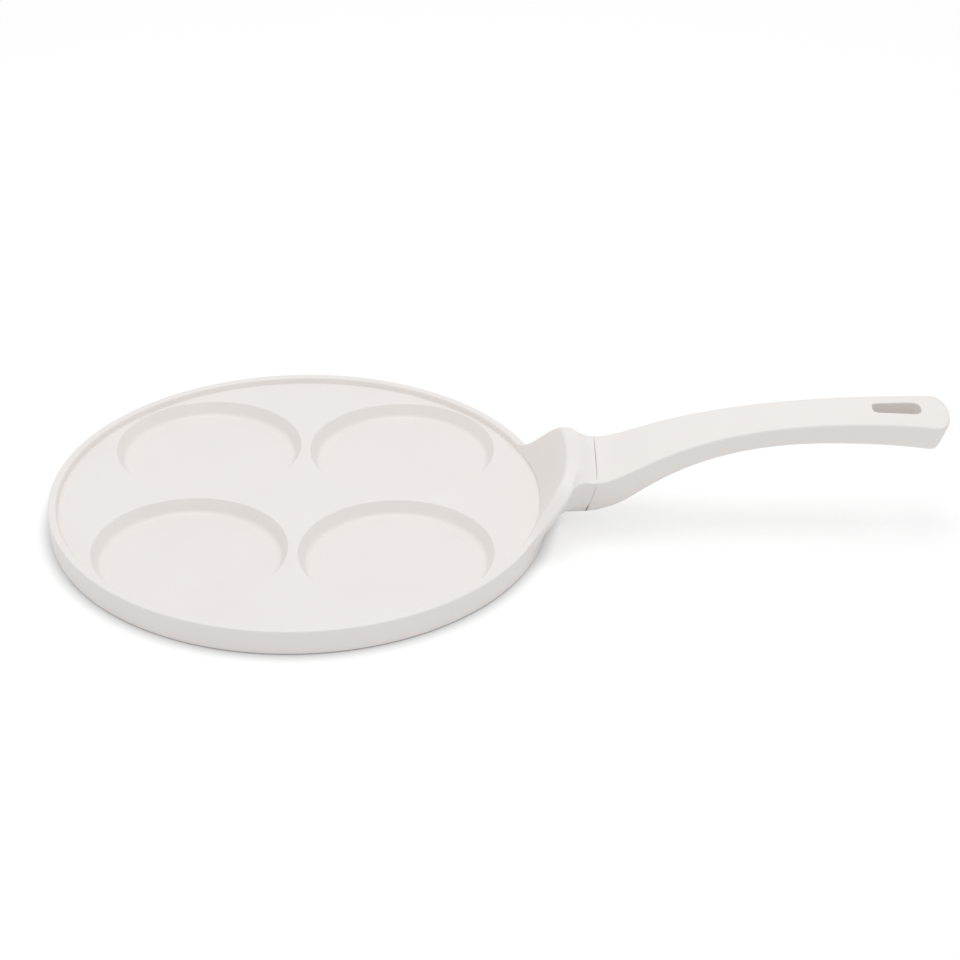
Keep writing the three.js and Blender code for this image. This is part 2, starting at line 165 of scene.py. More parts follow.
# Handle
HANDLE_START = 154.04 * MM
HANDLE_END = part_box("handle")[1][0]
GRIP_X = SEAM_X + 151.4 * MM
GRIP_TOP = 65.89 * MM
END_TOP = 65.3 * MM
BELLY_X = SEAM_X + 123.4 * MM
GRIP_BOTTOM = 50.2 * MM
END_BOTTOM = 47.2 * MM
WAIST_X = SEAM_X + 103.4 * MM
WAIST_HALF_WIDTH = 15 * MM
END_HALF_WIDTH = 18.4 * MM
TOP_RUNS = (19 * MM, 110 * MM, 12 * MM, 4 * MM)
BOTTOM_RUNS = (19.5 * MM, 88 * MM, 30 * MM, 5 * MM)
WIDTH_RUNS = (10 * MM, 62 * MM, 45 * MM, 6 * MM)
RAIL_STEPS = 64
TOP_CUTS = 9
UNDERSIDE_CUTS = 1
LEAN_SPAN = 16 * MM
END_BOW = 2.6 * MM
END_UNDERCUT = 5 * MM
END_WARP_SPAN = 30 * MM
END_CORNER_RUN = 4.5 * MM
END_CORNER_WIDTH = 8.5 * MM
END_EDGE_ROUND = 0.8 * MM
END_ROUND_STEPS = 6
END_FACE_PULLS = (1.25, 1.5)
END_FACE_DIP = 0.1 * MM
HANDLE_STATION = 5 * MM
SLOT_START = 294.33 * MM
SLOT_END = 318.93 * MM
SLOT_HALF_WIDTHS = (4.6 * MM, 6.2 * MM)
SLOT_EASES = (2.8 * MM, 4.5 * MM)
SLOT_EASE_STEPS = 8
SLOT_LIP = 0.9 * MM
# Height above the handle's lower or upper face and the slot's growth there, both in lips
SLOT_LOWER_LIP = ((-1, 1.2), (0, 0.75), (0.3, 0.4), (1, 0))
SLOT_UPPER_LIP = ((-1, 0), (-0.5, 0.13), (-0.3, 0.3), (0, 0.75), (1, 1.8))


def set_camera():
    turn = Matrix.Rotation(CAMERA_YAW, 4, "Z")
    turn = turn @ Matrix.Rotation(pi / 2 - CAMERA_PITCH, 4, "X")
    turn = turn @ Matrix.Rotation(CAMERA_ROLL, 4, "Z")
    bpy.ops.object.camera_add()
    camera = bpy.context.object
    camera.name = "camera"
    camera.data.lens = LENS_MM
    back = Matrix.Translation((0, 0, CAMERA_DISTANCE))
    camera.matrix_world = Matrix.Translation(CAMERA_TARGET) @ turn @ back
    bpy.context.scene.camera = camera
    bpy.context.scene.view_settings.view_transform = "Standard"


# Bench tools

def take(piece):
    bpy.ops.object.select_all(action="DESELECT")
    bpy.context.view_layer.objects.active = piece
    piece.select_set(True)


def open_piece(piece):
    take(piece)
    bpy.ops.object.mode_set(mode="EDIT")


def close_piece():
    """Welds the piece being edited, turns its faces outwards and ends the editing."""
    bpy.ops.mesh.reveal(select=False)
    bpy.ops.mesh.select_all(action="SELECT")
    bpy.ops.mesh.remove_doubles(threshold=WELD_REACH)
    bpy.ops.mesh.normals_make_consistent(inside=False)
    shape = bmesh.from_edit_mesh(bpy.context.object.data)
    if shape.calc_volume(signed=True) < 0:
        bpy.ops.mesh.flip_normals()
    bpy.ops.object.mode_set(mode="OBJECT")
    return bpy.context.object


def new_piece(name):
    piece = bpy.context.object
    piece.name = name
    piece.data.name = name
    bpy.ops.object.transform_apply(location=True, rotation=True, scale=True)
    bpy.ops.object.mode_set(mode="EDIT")
    return piece


def pick(test):
    bpy.ops.mesh.select_all(action="DESELECT")
    mesh = bpy.context.object.data
    shape = bmesh.from_edit_mesh(mesh)
    for point in shape.verts:
        point.select = not point.hide and test(point.co)
    shape.select_flush(True)
    bmesh.update_edit_mesh(mesh)


def pick_edges(test):
    bpy.ops.mesh.select_all(action="DESELECT")
    bpy.ops.mesh.select_mode(type="EDGE")
    mesh = bpy.context.object.data
    shape = bmesh.from_edit_mesh(mesh)
    for edge in shape.edges:
        edge.select_set(test(edge))
    bmesh.update_edit_mesh(mesh)


def push(x=0, y=0, z=0, **spread):
    bpy.ops.transform.translate(value=(x, y, z), **spread)


def stretch(centre, x=1, y=1, z=1, **spread):
    bpy.ops.transform.resize(value=(x, y, z), center_override=centre, **spread)


def spread_over(size, falloff="SMOOTH"):
    return {
        "use_proportional_edit": True,
        "proportional_edit_falloff": falloff,
        "proportional_size": size,
    }


def smooth(value, low, high):
    part = min(max((value - low) / (high - low), 0), 1)
    return part * part * (3 - 2 * part)


def eased(corners, steps=EASE_STEPS):
    """Outline through the corners, each eased over the length given as its third value."""
    outline = []
    for index, (a, b, ease) in enumerate(corners):
        if not ease:
            outline.append((a, b))
            continue
        here = Vector((a, b))
        ends = []
        for neighbour in (corners[index - 1], corners[(index + 1) % len(corners)]):
            along = Vector(neighbour[:2]) - here
            ends.append(here + along.normalized() * min(ease, along.length / 2))
        for step in range(steps + 1):
            part = step / steps
            bend = ends[0] * (1 - part) ** 2 + here * (2 * part * (1 - part)) + ends[1] * part ** 2
            outline.append(tuple(bend))
    return outline


def turned(name, rows, columns, middle=(0, 0)):
    """Turns a solid: the outline's rows of (radius, height) are drawn out of one another."""
    x, y = middle
    radius, height = rows[0]
    bpy.ops.object.select_all(action="DESELECT")
    place = (x, y, height)
    bpy.ops.mesh.primitive_circle_add(vertices=columns, radius=radius, fill_type="NGON", location=place)
    new_piece(name)
    bpy.ops.mesh.select_all(action="SELECT")
    for next_radius, next_height in rows[1:]:
        bpy.ops.mesh.extrude_region_move(TRANSFORM_OT_translate={"value": (0, 0, next_height - height)})
        scale = next_radius / radius
        stretch((x, y, next_height), x=scale, y=scale)
        radius, height = next_radius, next_height
    return close_piece()


def cut(piece, tools, operation="DIFFERENCE"):
    """Works each tool's shape out of a piece, or into it, and throws the tool away."""
    for tool in tools:
        take(piece)
        modifier = piece.modifiers.new("cut", "BOOLEAN")
        modifier.operation = operation
        modifier.solver = "EXACT"
        modifier.object = tool
        bpy.ops.object.modifier_apply(modifier=modifier.name)
        bpy.data.meshes.remove(tool.data)


def shade(piece):
    take(piece)
    bpy.ops.object.shade_smooth_by_angle(angle=CREASE)
    modifier = piece.modifiers.new("even_shading", "WEIGHTED_NORMAL")
    modifier.keep_sharp = True
    bpy.ops.object.modifier_apply(modifier=modifier.name)


# Marks that tell a piece's points apart while it is drawn out
MARKS = ("row", "column", "ring")


def wall_corners(swollen):
    """Corners of the casting's section, plain or at the middle of the lug, each with its ease."""
    reach = FLANGE_REACH if swollen else 0
    crest = CREST_REACH if swollen else 0
    edge = FLANGE_EDGE_HEIGHT if swollen else RIM_HEIGHT
    top = CREST_HEIGHT if swollen else RIM_HEIGHT
    run = 0 if swollen else WELL_RUN
    seat = PLATE_RADIUS + PLATE_CLEARANCE
    foot = RIM_RADIUS - WALL_DRAFT
    root = foot + WALL_DRAFT * ROOT_HEIGHT / RIM_HEIGHT
    lower = edge - FLANGE_THICKNESS
    return [
        (seat, PLATE_THICKNESS, 0),
        (seat, PLATE_STANDOUT, 0),
        (foot, PLATE_STANDOUT, BASE_EASE),
        (root, ROOT_HEIGHT, ROOT_EASE),
        (RIM_RADIUS - FLANGE_SET_IN + reach, lower, 0),
        (RIM_RADIUS + reach, edge, RIM_OUTER_EASE),
        (WELL_RADIUS + crest, top, CREST_EASE if swollen else RIM_INNER_EASE),
        (WELL_RADIUS - run / 2, COOK_HEIGHT + (SCOOP_FOOT if swollen else WELL_FOOT), 0),
        (WELL_RADIUS - run, COOK_HEIGHT - RELIEF_DEPTH, RELIEF_EASE),
        (WELL_RADIUS - run - RELIEF_WIDTH, COOK_HEIGHT, RELIEF_EASE),
        (COOK_RING_RADIUS, COOK_HEIGHT, 0),
    ]


# Rows of that section once it is eased, counted from the plate's seat
SEAT_ROWS = 2
FIRST_ROOT_ROW = SEAT_ROWS + EASE_STEPS + 1
FLANGE_ROW = FIRST_ROOT_ROW + EASE_STEPS + 1
FIRST_EDGE_ROW = FLANGE_ROW + 1
LAST_EDGE_ROW = FIRST_EDGE_ROW + EASE_STEPS
LUG_FIRST_ROW = FIRST_ROOT_ROW + EASE_STEPS // 2


def add_marks(piece, row_and_column):
    """Writes a row and a column on each point of a piece, with a ring that is nought to begin with."""
    for name in MARKS:
        piece.data.attributes.new(name, "INT", "POINT")
    for point in piece.data.vertices:
        for name, value in zip(MARKS, row_and_column(point.co)):
            piece.data.attributes[name].data[point.index].value = value


def clear_marks(piece):
    for name in MARKS:
        piece.data.attributes.remove(piece.data.attributes[name])


def pick_marked(test):
    """Selects the points that a test of row, column and ring lets through; gives a place per column."""
    bpy.ops.mesh.select_all(action="DESELECT")
    mesh = bpy.context.object.data
    shape = bmesh.from_edit_mesh(mesh)
    row, column, ring = (shape.verts.layers.int[name] for name in MARKS)
    places = {}
    for point in shape.verts:
        if not point.hide and test(point[row], point[column], point[ring]):
            point.select = True
            places[point[column]] = point.co.copy()
    shape.select_flush(True)
    bmesh.update_edit_mesh(mesh)
    return places


def within(fan):
    """Test for the columns in the full part of a fan."""
    full = fan[0] * WALL_COLUMNS / (2 * pi)
    return lambda row, column, ring: abs(column) <= full


def swell_row(row, plain, swollen):
    """Swells one row of the rim out and up towards the handle, fading away at the sides."""
    fan = FLANGE_FAN if row <= LAST_EDGE_ROW else CREST_FAN
    pick_marked(lambda mark, column, ring: mark == row)
    bpy.ops.mesh.hide(unselected=True)
    pick_marked(within(fan))
    scale = swollen[0] / plain[0]
    stretch((0, 0, plain[1]), x=scale, y=scale, **spread_over(plain[0] * (fan[1] - fan[0])))
    pick_marked(within(CREST_FAN))
    run = (plain[0] + swollen[0]) / 2 * (CREST_FAN[1] - CREST_FAN[0])
    push(z=swollen[1] - plain[1], **spread_over(hypot(run, swollen[0] - plain[0])))
    bpy.ops.mesh.reveal(select=False)


def seam_section():
    """Half width and height of the lug's rows at the seam, from the underside up."""
    top = (SEAM_HALF_WIDTH, SEAM_TOP)
    low = (UNDERSIDE_HALF_WIDTH, SEAM_BOTTOM)

    def on_side(part):
        return tuple(a + (b - a) * part for a, b in zip(low, top))

    length = hypot(top[0] - low[0], top[1] - low[1])
    corner = eased([(*low, 0), (*top, TOP_EDGE_EASE), (0, SEAM_TOP, 0)])[1:-1]
    sides = [on_side(part) for part in SEAM_SIDE_ROWS]
    return [(on_side(UNDERSIDE_EASE / length)[0], SEAM_BOTTOM), *sides, *corner]


def mark_ring(number):
    mesh = bpy.context.object.data
    shape = bmesh.from_edit_mesh(mesh)
    ring = shape.verts.layers.int["ring"]
    for point in shape.verts:
        if point.select:
            point[ring] = number
    bmesh.update_edit_mesh(mesh)


def lug_top(x):
    return SEAM_TOP + (LUG_RIDGE_TOP - SEAM_TOP) * (1 - smooth(x, LUG_RIDGE_X, SEAM_X))


def draw_out_lug():
    """Draws the middle of the flange out into the lug, ring by ring as far as the seam."""
    section = seam_section()
    rise = UNDERSIDE_EASE * sin(atan2(SEAM_TOP - SEAM_BOTTOM, SEAM_HALF_WIDTH - UNDERSIDE_HALF_WIDTH))
    starts = {}
    bent = 0
    lug_rows = range(LUG_FIRST_ROW, LAST_EDGE_ROW + 1)
    side = LUG_HALF_COLUMNS
    for row in lug_rows:
        places = pick_marked(lambda mark, column, ring: mark == row and abs(column) <= side)
        starts[row] = places[0], places[side]
    pick_marked(lambda mark, column, ring: mark in lug_rows and abs(column) <= side)
    for number, part in enumerate(LUG_STEPS, 1):
        bpy.ops.mesh.extrude_region_move()
        mark_ring(number)
        for row, (half, height) in zip(lug_rows, section):
            first_middle, first_side = starts[row]
            upper = row >= FLANGE_ROW
            left = (1 - part) ** LUG_FILLETS[upper]
            bow = (first_middle.x - first_side.x) * (1 - part) ** LUG_BOW_FADE
            wide = half + (first_side.y - half) * left
            x = first_middle.x + (SEAM_X - tan(SEAM_LEAN) * (SEAM_TOP - height) - first_middle.x) * part
            below = height - SEAM_TOP
            # Upper rows follow the ridge down to the seam, and lower ones pass smoothly to its height
            if upper:
                high = lug_top(x - bow) + below + (first_side.z - lug_top(first_side.x) - below) * left
            else:
                high = first_side.z + (height - first_side.z) * smooth(part, 0, 1)
            places = pick_marked(lambda mark, column, ring: mark == row and ring == number)
            middle, edge = places[0], places[side]
            flat = bow / (middle.x - edge.x) if bow > 0 else 0
            crown = 1
            if row >= FIRST_EDGE_ROW:
                fade = (1 - part) ** LUG_CROWN_FADE
                wanted = TOP_CROWN + (first_middle.z - first_side.z - TOP_CROWN) * fade
                crown = wanted / (middle.z - edge.z)
            level = edge.z - (bent if row == LUG_FIRST_ROW else 0)
            stretch((middle.x, 0, edge.z), x=flat, y=wide / edge.y, z=crown)
            push(x=x - middle.x, z=high - level)
            # The sides of the underside bend up by degrees into the seam's eased corners
            if row == LUG_FIRST_ROW and part <= LUG_BEND_DONE:
                bend = rise * smooth(part, 0, LUG_BEND_DONE) - bent
                bent += bend
                bpy.ops.mesh.hide(unselected=True)
                pick_marked(lambda mark, column, ring: abs(column) == side)
                push(z=bend, **spread_over(wide * LUG_BEND_SPREAD, "SHARP"))
                bpy.ops.mesh.reveal(select=False)
        pick_marked(lambda mark, column, ring: mark in lug_rows and ring == number)


def ease_seam_edge(last_ring):
    """Eases the edge all round the ring that faces the seam."""
    mesh = bpy.context.object.data
    ring = bmesh.from_edit_mesh(mesh).verts.layers.int["ring"]

    def on_border(edge):
        if any(point[ring] != last_ring for point in edge.verts):
            return False
        return any(point[ring] != last_ring for face in edge.link_faces for point in face.verts)

    pick_edges(on_border)
    bpy.ops.mesh.bevel(offset=SEAM_EDGE_EASE, segments=SEAM_EDGE_STEPS, affect="EDGES")
    bpy.ops.mesh.select_mode(type="VERT")


def mould_tool(x, y):
    """Space of one mould: a sloping wall, eased into the floor and over the lip."""
    floor = COOK_HEIGHT - MOULD_DEPTH
    rows = eased([
        (MOULD_RING_RADIUS, floor, 0),
        (MOULD_RADIUS - MOULD_WALL_RUN, floor, MOULD_FLOOR_EASE),
        (MOULD_RADIUS, COOK_HEIGHT, MOULD_LIP_EASE),
        (MOULD_RADIUS + MOULD_BRIM, COOK_HEIGHT + MOULD_BRIM_LIFT, 0),
        (MOULD_RADIUS + MOULD_BRIM, COOK_HEIGHT + MOULD_DEPTH, 0),
    ], MOULD_EASE_STEPS)
    return turned("mould_space", rows, MOULD_COLUMNS, (x, y))


def tongue_bar(name, clearance):
    """Bar of the tongue in its own turn, grown by a clearance for the socket that takes it."""
    length = TONGUE_ROOT + TONGUE_LENGTH + clearance
    size = (length, TONGUE_WIDTH + 2 * clearance, TONGUE_THICKNESS + 2 * clearance)
    bpy.ops.object.select_all(action="DESELECT")
    bpy.ops.mesh.primitive_cube_add(size=1, location=(length / 2 - TONGUE_ROOT, 0, 0), scale=size)
    new_piece(name)
    bpy.ops.mesh.select_all(action="SELECT")
    bpy.ops.mesh.bevel(offset=TONGUE_EASE, segments=TONGUE_EASE_STEPS, affect="EDGES")
    bar = close_piece()
    return in_tongue_turn(bar)


def in_tongue_turn(piece):
    take(piece)
    piece.matrix_world = Matrix.Translation(TONGUE_PLACE) @ Matrix.Rotation(-TONGUE_ANGLE, 4, "Y")
    bpy.ops.object.transform_apply(location=True, rotation=True, scale=True)
    return piece


def tongue_hole(rows):
    return in_tongue_turn(turned("hole", rows, HOLE_COLUMNS, (SCREW_ALONG_TONGUE, 0)))


def plate_holes():
    for ring in range(1, PLATE_RINGS + 1):
        count = PLATE_HOLES_IN_FIRST_RING * ring
        for hole in range(count):
            angle = 2 * pi * hole / count
            yield PLATE_RING_SPACING * ring * cos(angle), PLATE_RING_SPACING * ring * sin(angle)


def add_studs(casting):
    """Domed studs of the casting that fill the plate's holes."""
    radius = PLATE_HOLE_RADIUS - PLATE_CLEARANCE
    rows = [(radius, PLATE_THICKNESS + STUD_ROOT)]
    rows += [(radius * share, PLATE_STANDOUT + height) for share, height in STUD_DOME]
    places = list(plate_holes())
    stud = turned("studs", rows, STUD_COLUMNS, places[0])
    copies = [stud]
    for x, y in places[1:]:
        copy = stud.copy()
        copy.data = stud.data.copy()
        bpy.context.collection.objects.link(copy)
        take(copy)
        copy.location = (x - places[0][0], y - places[0][1], 0)
        bpy.ops.object.transform_apply(location=True, rotation=True, scale=True)
        copies.append(copy)
    take(stud)
    for copy in copies:
        copy.select_set(True)
    bpy.ops.object.join()
    cut(casting, [stud], "UNION")


def make_casting():
    plain = eased(wall_corners(swollen=False))
    swollen = eased(wall_corners(swollen=True))
    casting = turned("pan_casting", plain, WALL_COLUMNS)

    def row_and_column(place):
        radius = hypot(place.x, place.y)
        gaps = [hypot(corner[0] - radius, corner[1] - place.z) for corner in plain]
        return gaps.index(min(gaps)), round(atan2(place.y, place.x) * WALL_COLUMNS / (2 * pi))

    add_marks(casting, row_and_column)
    open_piece(casting)
    for row, (start, end) in enumerate(zip(plain, swollen)):
        if hypot(end[0] - start[0], end[1] - start[1]) > NEAR:
            swell_row(row, start, end)
    edge_rows = range(FIRST_EDGE_ROW, LAST_EDGE_ROW + 1)
    pick_marked(lambda row, column, ring: row in edge_rows)
    bpy.ops.mesh.hide(unselected=True)
    pick_marked(lambda row, column, ring: column == 0)
    push(z=TOP_CROWN, **spread_over(LUG_CROWN_SPREAD * SEAM_HALF_WIDTH, "INVERSE_SQUARE"))
    bpy.ops.mesh.reveal(select=False)
    draw_out_lug()
    ease_seam_edge(len(LUG_STEPS))
    close_piece()
    clear_marks(casting)
    signs = (-1, 1)
    cut(casting, [mould_tool(x * MOULD_OFFSET, y * MOULD_OFFSET) for x in signs for y in signs])
    cut(casting, [tongue_bar("tongue", 0)], "UNION")
    reach = TONGUE_THICKNESS
    cut(casting, [tongue_hole([(INSERT_BORE_RADIUS, -reach), (INSERT_BORE_RADIUS, reach)])])
    add_studs(casting)
    shade(casting)
    return casting


# Handle

def sway(start, end, run_out, run_in):
    """Points of a curve that leaves its start and reaches its end level, with the given runs."""
    points = []
    for step in range(RAIL_STEPS + 1):
        part = step / RAIL_STEPS
        rest = 1 - part
        weights = (rest ** 3, 3 * rest * rest * part, 3 * rest * part * part, part ** 3)
        xs = (start[0], start[0] + run_out, end[0] - run_in, end[0])
        zs = (start[1], start[1], end[1], end[1])
        points.append(tuple(sum(w * v for w, v in zip(weights, values)) for values in (xs, zs)))
    return points


def rail(start, middle, end, runs):
    return sway(start, middle, runs[0], runs[1]) + sway(middle, end, runs[2], runs[3])[1:]


def at(points, x):
    """Height or half width that a rail gives at a place along the handle."""
    if x <= points[0][0]:
        return points[0][1]
    for (x0, z0), (x1, z1) in zip(points, points[1:]):
        if x <= x1:
            return z0 + (z1 - z0) * (x - x0) / (x1 - x0)
    return points[-1][1]


TOP_RAIL = rail((SEAM_X, SEAM_TOP), (GRIP_X, GRIP_TOP), (HANDLE_END, END_TOP), TOP_RUNS)
BOTTOM_RAIL = rail((SEAM_X, SEAM_BOTTOM), (BELLY_X, GRIP_BOTTOM), (HANDLE_END, END_BOTTOM), BOTTOM_RUNS)
WAIST = (WAIST_X, WAIST_HALF_WIDTH)
WIDTH_RAIL = rail((SEAM_X, SEAM_HALF_WIDTH), WAIST, (HANDLE_END, END_HALF_WIDTH), WIDTH_RUNS)


def handle_stations():
    """Places along the handle with the pull of its rounded end, and rings that close the end face."""
    last = HANDLE_END - END_CORNER_RUN
    count = ceil((last - HANDLE_START) / HANDLE_STATION)
    stations = [(HANDLE_START + (last - HANDLE_START) * step / count, 0) for step in range(count + 1)]
    for step in range(1, END_ROUND_STEPS + 1):
        angle = pi / 2 * step / END_ROUND_STEPS
        stations.append((last + END_CORNER_RUN * sin(angle), 1 - cos(angle)))
    return stations + [(HANDLE_END - END_FACE_DIP, pull) for pull in END_FACE_PULLS]


def handle_measures(x, pull):
    """Top, bottom, half widths and leans of the handle's section at one station."""
    top = at(TOP_RAIL, x)
    bottom = at(BOTTOM_RAIL, x)
    warp = smooth(x, HANDLE_END - END_WARP_SPAN, HANDLE_END)
    fade = 1 - smooth(x, HANDLE_START, HANDLE_START + LEAN_SPAN)
    full = at(WIDTH_RAIL, x)
    half = full - END_CORNER_WIDTH * pull
    return {
        "x": x,
        "top": top - END_EDGE_ROUND * pull,
        "bottom": bottom + END_EDGE_ROUND * pull,
        "half": half,
        "under": UNDERSIDE_HALF_WIDTH - END_CORNER_WIDTH / 2 * pull,
        "lean": tan(SEAM_LEAN) * (top - bottom) * fade,
        "undercut": END_UNDERCUT * warp,
        "bow": END_BOW * warp * (half / full) ** 2,
    }


def start_handle(first):
    """Section of the handle at the seam, with eased corners and a crowned top."""
    depth = first["top"] - first["bottom"]
    middle = (first["x"], 0, (first["top"] + first["bottom"]) / 2)
    bpy.ops.object.select_all(action="DESELECT")
    bpy.ops.mesh.primitive_plane_add(size=1, rotation=(0, pi / 2, 0), location=middle)
    handle = new_piece("pan_handle")
    stretch(middle, y=2 * first["half"], z=depth)
    pick(lambda place: place.z < middle[2])
    stretch(middle, y=first["under"] / first["half"])
    bpy.ops.mesh.bevel(affect="VERTICES", offset=UNDERSIDE_EASE, segments=UNDERSIDE_EASE_STEPS)
    pick(lambda place: place.z > middle[2])
    bpy.ops.mesh.bevel(affect="VERTICES", offset=TOP_EDGE_EASE, segments=EASE_STEPS)
    for height, cuts in ((first["top"], TOP_CUTS), (first["bottom"], UNDERSIDE_CUTS)):
        pick(lambda place: abs(place.z - height) < NEAR)
        bpy.ops.mesh.subdivide(number_cuts=cuts)
    pick(lambda place: place.z > middle[2])
    bpy.ops.mesh.hide(unselected=True)
    pick(lambda place: abs(place.y) < NEAR)
    push(z=TOP_CROWN, **spread_over(first["half"], "INVERSE_SQUARE"))
    bpy.ops.mesh.reveal(select=False)
    bpy.ops.object.mode_set(mode="OBJECT")
    return handle


def leaned(measures, depth):
    """How far back a point of a leaning section stands, at a depth below the section's top."""
    share = depth / (measures["top"] - measures["bottom"])
    return measures["lean"] * share + measures["undercut"] * max(share, 0)


def depth_of(level, measures):
    """Depth below the section's top of a level that is measured from its bottom or its top."""
    height, above_bottom = level
    return measures["top"] - measures["bottom"] - height if above_bottom else -height


def lean_back(number, levels, old, new):
    """Leans a section level by level, less the lean that it brings from the last station."""
    for level_row, level in enumerate(levels):
        back = leaned(new, depth_of(level, new))
        if number:
            back -= leaned(old, depth_of(level, old))
        if abs(back) > STILL:
            pick_marked(lambda row, column, ring: ring == number and row == level_row)
            push(x=-back)


def shape_section(number, levels, old, new):
    """Takes the newest section of the handle from the last station's measures to the next one's."""
    first_top = sum(above_bottom for height, above_bottom in levels)
    parts = ((range(first_top), "bottom", "under"), (range(first_top, len(levels)), "top", "half"))
    for part, height, width in parts:
        pick_marked(lambda row, column, ring: ring == number and row in part)
        stretch((new["x"], 0, old[height]), y=new[width] / old[width])
        push(z=new[height] - old[height])
    lean_back(number, levels, old, new)
    bow = new["bow"] - old["bow"]
    if bow:
        pick_marked(lambda row, column, ring: ring == number)
        push(x=-bow)
        bpy.ops.mesh.hide(unselected=True)
        pick_marked(lambda row, column, ring: column == 0)
        push(x=bow, **spread_over(new["half"], "INVERSE_SQUARE"))
        bpy.ops.mesh.reveal(select=False)
    pick_marked(lambda row, column, ring: ring == number)


def slot_tool():
    """Tapered hang slot with eased corners, widened at both faces by its rounded lips."""
    near, far = SLOT_HALF_WIDTHS
    middle = (SLOT_START + SLOT_END) / 2
    length = SLOT_END - SLOT_START
    bottom = at(BOTTOM_RAIL, middle)
    top = at(TOP_RAIL, middle) + TOP_CROWN
    heights = [(bottom + rise * SLOT_LIP, lip) for rise, lip in SLOT_LOWER_LIP]
    heights += [(top + rise * SLOT_LIP, lip) for rise, lip in SLOT_UPPER_LIP]
    level = heights[0][0]
    bpy.ops.object.select_all(action="DESELECT")
    bpy.ops.mesh.primitive_plane_add(size=1, location=(middle, 0, level))
    new_piece("slot_space")
    bpy.ops.mesh.select_all(action="SELECT")
    stretch((middle, 0, level), x=length, y=2 * far)
    pick(lambda place: place.x < middle)
    stretch((middle, 0, level), y=near / far)
    bpy.ops.mesh.bevel(affect="VERTICES", offset=SLOT_EASES[0], segments=SLOT_EASE_STEPS)
    pick(lambda place: place.x > middle)
    bpy.ops.mesh.bevel(affect="VERTICES", offset=SLOT_EASES[1], segments=SLOT_EASE_STEPS)
    bpy.ops.mesh.select_all(action="SELECT")
    wide = 0
    for height, lip in heights:
        bpy.ops.mesh.extrude_region_move(TRANSFORM_OT_translate={"value": (0, 0, height - level)})
        grow = 2 * SLOT_LIP * (lip - wide)
        stretch((middle, 0, height), x=1 + grow / length, y=1 + grow / (near + far))
        length += grow
        near, far = near + grow / 2, far + grow / 2
        level, wide = height, lip
    return close_piece()


def make_handle():
    stations = handle_stations()
    old = handle_measures(*stations[0])
    handle = start_handle(old)
    half_height = (old["top"] + old["bottom"]) / 2
    heights = sorted({round(point.co.z, HEIGHT_DIGITS) for point in handle.data.vertices})
    levels = [(z - old["bottom"], True) if z < half_height else (z - old["top"], False) for z in heights]

    def level_and_column(place):
        level = min(range(len(heights)), key=lambda index: abs(heights[index] - place.z))
        return level, int(abs(place.y) > NEAR)

    add_marks(handle, level_and_column)
    open_piece(handle)
    lean_back(0, levels, old, old)
    bpy.ops.mesh.select_all(action="SELECT")
    for number, station in enumerate(stations[1:], 1):
        new = handle_measures(*station)
        bpy.ops.mesh.extrude_region_move(TRANSFORM_OT_translate={"value": (new["x"] - old["x"], 0, 0)})
        mark_ring(number)
        shape_section(number, levels, old, new)
        old = new
    ease_seam_edge(0)
    close_piece()
    clear_marks(handle)
    socket = tongue_bar("socket", SOCKET_CLEARANCE)
    bore = [(BUSH_BORE_RADIUS, -TONGUE_THICKNESS / 2), (BUSH_BORE_RADIUS, POCKET_TOP)]
    pocket = [(POCKET_RADIUS, POCKET_TOP), (POCKET_RADIUS, POCKET_TOP - SEAM_TOP)]
    cut(handle, [socket, tongue_hole(bore + pocket), slot_tool()])
    shade(handle)
    return handle


# Finishes. A pattern has a spot size and a detail, and patches also the levels they are stretched
# between. A roughness is a base and what each pattern adds to it. A bump is a depth and a strength.
COATING_CLOUD = (45 * MM, 3, 0.3, 0.7)
COATING_PEEL = (1.4 * MM, 2)
COATING_SPECK = (0.35 * MM, 1)
COATING_CLOUD_SHARE = 0.6
COATING_PEEL_SHARE = 0.8
COATING_COLOURS = ((0.825, 0.784, 0.758), (0.85, 0.811, 0.786))
COATING_ROUGHNESS = (0.36, 0.07, 0.08)
COATING_BUMP = (0.03 * MM, 0.6)
LACQUER_CLOUD = (60 * MM, 2, 0.3, 0.7)
LACQUER_GRAIN = (0.5 * MM, 2)
LACQUER_CLOUD_SHARE = 0.5
LACQUER_COLOURS = ((0.835, 0.795, 0.765), (0.86, 0.822, 0.795))
LACQUER_ROUGHNESS = (0.5, 0.06, 0.08)
LACQUER_BUMP = (0.02 * MM, 0.6)
STEEL_RINGS_PER_METRE = 1400
STEEL_RING_DETAIL = 3
STEEL_RING_SHARE = 0.7
STEEL_STAIN = (30 * MM, 4, 0.35, 0.75)
STEEL_COLOURS = ((0.36, 0.365, 0.37), (0.5, 0.505, 0.51))
STEEL_ROUGHNESS = (0.3, 0.16, 0.06)
STEEL_BUMP = (0.02 * MM, 0.5)
ZINC_MOTTLE = (1.6 * MM, 3, 0.3, 0.7)
ZINC_GRAIN = (0.25 * MM, 2)
ZINC_COLOURS = ((0.46, 0.46, 0.44), (0.56, 0.56, 0.53))
ZINC_ROUGHNESS = (0.28, 0.14)
ZINC_BUMP = (0.01 * MM, 0.5)
RUBBER_DUST = (3 * MM, 4, 0.35, 0.7)
RUBBER_PORES = (0.3 * MM, 2)
# Painted light on the gasket: share, start height and spread of a paler top that stands in for light
# falling on it
RUBBER_LIT_TOP_SHARE = 0.8
RUBBER_LIT_TOP_FROM = 30 * MM
RUBBER_LIT_TOP_OVER = 3 * MM
RUBBER_COLOURS = ((0.7, 0.67, 0.64), (0.93, 0.89, 0.86))
RUBBER_ROUGHNESS = (0.7, 0.15)
RUBBER_BUMP = (0.03 * MM, 0.6)

# Numbers of the Mix node's colour sockets, whose names it gives more than once
MIX_COLOURS_IN = (6, 7)
MIX_COLOUR_OUT = 2


def grey(level):
    return (level, level, level)


